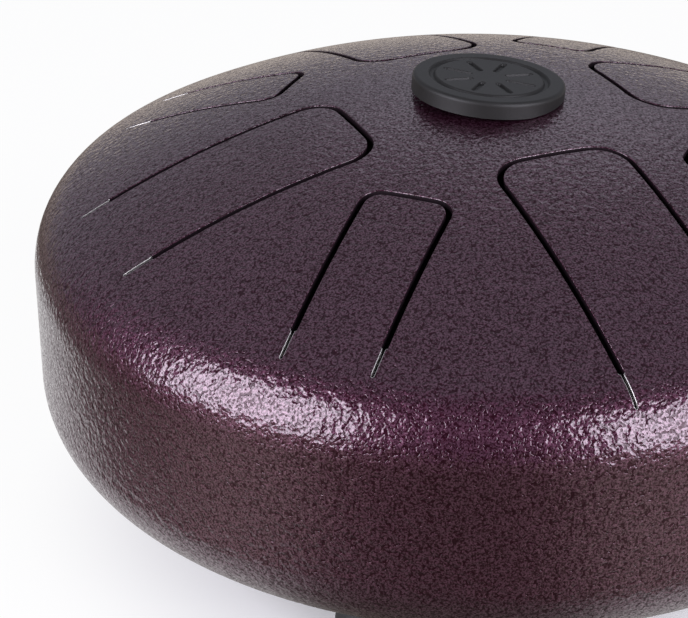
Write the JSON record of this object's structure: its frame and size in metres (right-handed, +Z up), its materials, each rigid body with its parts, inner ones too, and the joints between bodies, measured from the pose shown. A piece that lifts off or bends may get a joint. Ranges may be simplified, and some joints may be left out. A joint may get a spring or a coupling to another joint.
{
  "type": "steel tongue drum",
  "caption": "Round drum of two dished steel heads welded rim to rim, with tongues slotted in the upper one, a rubber plug, and rubber feet under it.",
  "frame": {"origin": "on the floor under the middle of the drum, at the middle of the bottom of its box", "axes": "+Z up along the axis of the drum; -Y towards the longest tongue; +X towards the third tongue, counted counterclockwise from the longest"},
  "size_m": [0.3048, 0.3048, 0.1621],
  "materials": {
    "coated_steel": "dark violet hammered powder coat, satin gloss",
    "plug_rubber": "matte charcoal",
    "foot_rubber": "matte black",
    "zinc_steel": "bright zinc plated"
  },
  "bodies": {
    "drum": {"top_shell": "coated_steel", "seam_weld": "coated_steel", "bottom_shell": "coated_steel", "centre_plug": "plug_rubber", "foot_1": "foot_rubber", "foot_2": "foot_rubber", "foot_3": "foot_rubber", "foot_4": "foot_rubber", "foot_stud_1": "zinc_steel", "foot_stud_2": "zinc_steel", "foot_stud_3": "zinc_steel", "foot_stud_4": "zinc_steel", "foot_washer_1": "zinc_steel", "foot_washer_2": "zinc_steel", "foot_washer_3": "zinc_steel", "foot_washer_4": "zinc_steel", "rivet_nut_1": "zinc_steel", "rivet_nut_2": "zinc_steel", "rivet_nut_3": "zinc_steel", "rivet_nut_4": "zinc_steel"},
    "tongue_1": {"tongue_1": "coated_steel"},
    "tongue_2": {"tongue_2": "coated_steel"},
    "tongue_3": {"tongue_3": "coated_steel"},
    "tongue_4": {"tongue_4": "coated_steel"},
    "tongue_5": {"tongue_5": "coated_steel"},
    "tongue_6": {"tongue_6": "coated_steel"},
    "tongue_7": {"tongue_7": "coated_steel"},
    "tongue_8": {"tongue_8": "coated_steel"}
  },
  "joints": [
    {"name": "tongue_1_flex", "type": "hinge", "parent": "drum", "child": "tongue_1", "pos_m": [0, -0.14326, 0.11655], "axis": [-1, 0, 0], "range_deg": [-0.3, 0.3], "stiffness_Nm_per_rad": 188},
    {"name": "tongue_2_flex", "type": "hinge", "parent": "drum", "child": "tongue_2", "pos_m": [0.08912, -0.08912, 0.1267], "axis": [-0.7071, -0.7071, 0], "range_deg": [-0.3, 0.3], "stiffness_Nm_per_rad": 201},
    {"name": "tongue_3_flex", "type": "hinge", "parent": "drum", "child": "tongue_3", "pos_m": [0.14006, 0, 0.11927], "axis": [0, -1, 0], "range_deg": [-0.3, 0.3], "stiffness_Nm_per_rad": 194},
    {"name": "tongue_4_flex", "type": "hinge", "parent": "drum", "child": "tongue_4", "pos_m": [0.09332, 0.09332, 0.1239], "axis": [0.7071, -0.7071, 0], "range_deg": [-0.3, 0.3], "stiffness_Nm_per_rad": 174},
    {"name": "tongue_5_flex", "type": "hinge", "parent": "drum", "child": "tongue_5", "pos_m": [0, 0.13, 0.12456], "axis": [1, 0, 0], "range_deg": [-0.3, 0.3], "stiffness_Nm_per_rad": 222},
    {"name": "tongue_6_flex", "type": "hinge", "parent": "drum", "child": "tongue_6", "pos_m": [-0.09063, 0.09063, 0.12571], "axis": [0.7071, 0.7071, 0], "range_deg": [-0.3, 0.3], "stiffness_Nm_per_rad": 199},
    {"name": "tongue_7_flex", "type": "hinge", "parent": "drum", "child": "tongue_7", "pos_m": [-0.13365, 0, 0.1228], "axis": [0, 1, 0], "range_deg": [-0.3, 0.3], "stiffness_Nm_per_rad": 211},
    {"name": "tongue_8_flex", "type": "hinge", "parent": "drum", "child": "tongue_8", "pos_m": [-0.0972, -0.0972, 0.1212], "axis": [-0.7071, 0.7071, 0], "range_deg": [-0.3, 0.3], "stiffness_Nm_per_rad": 169}
  ]
}
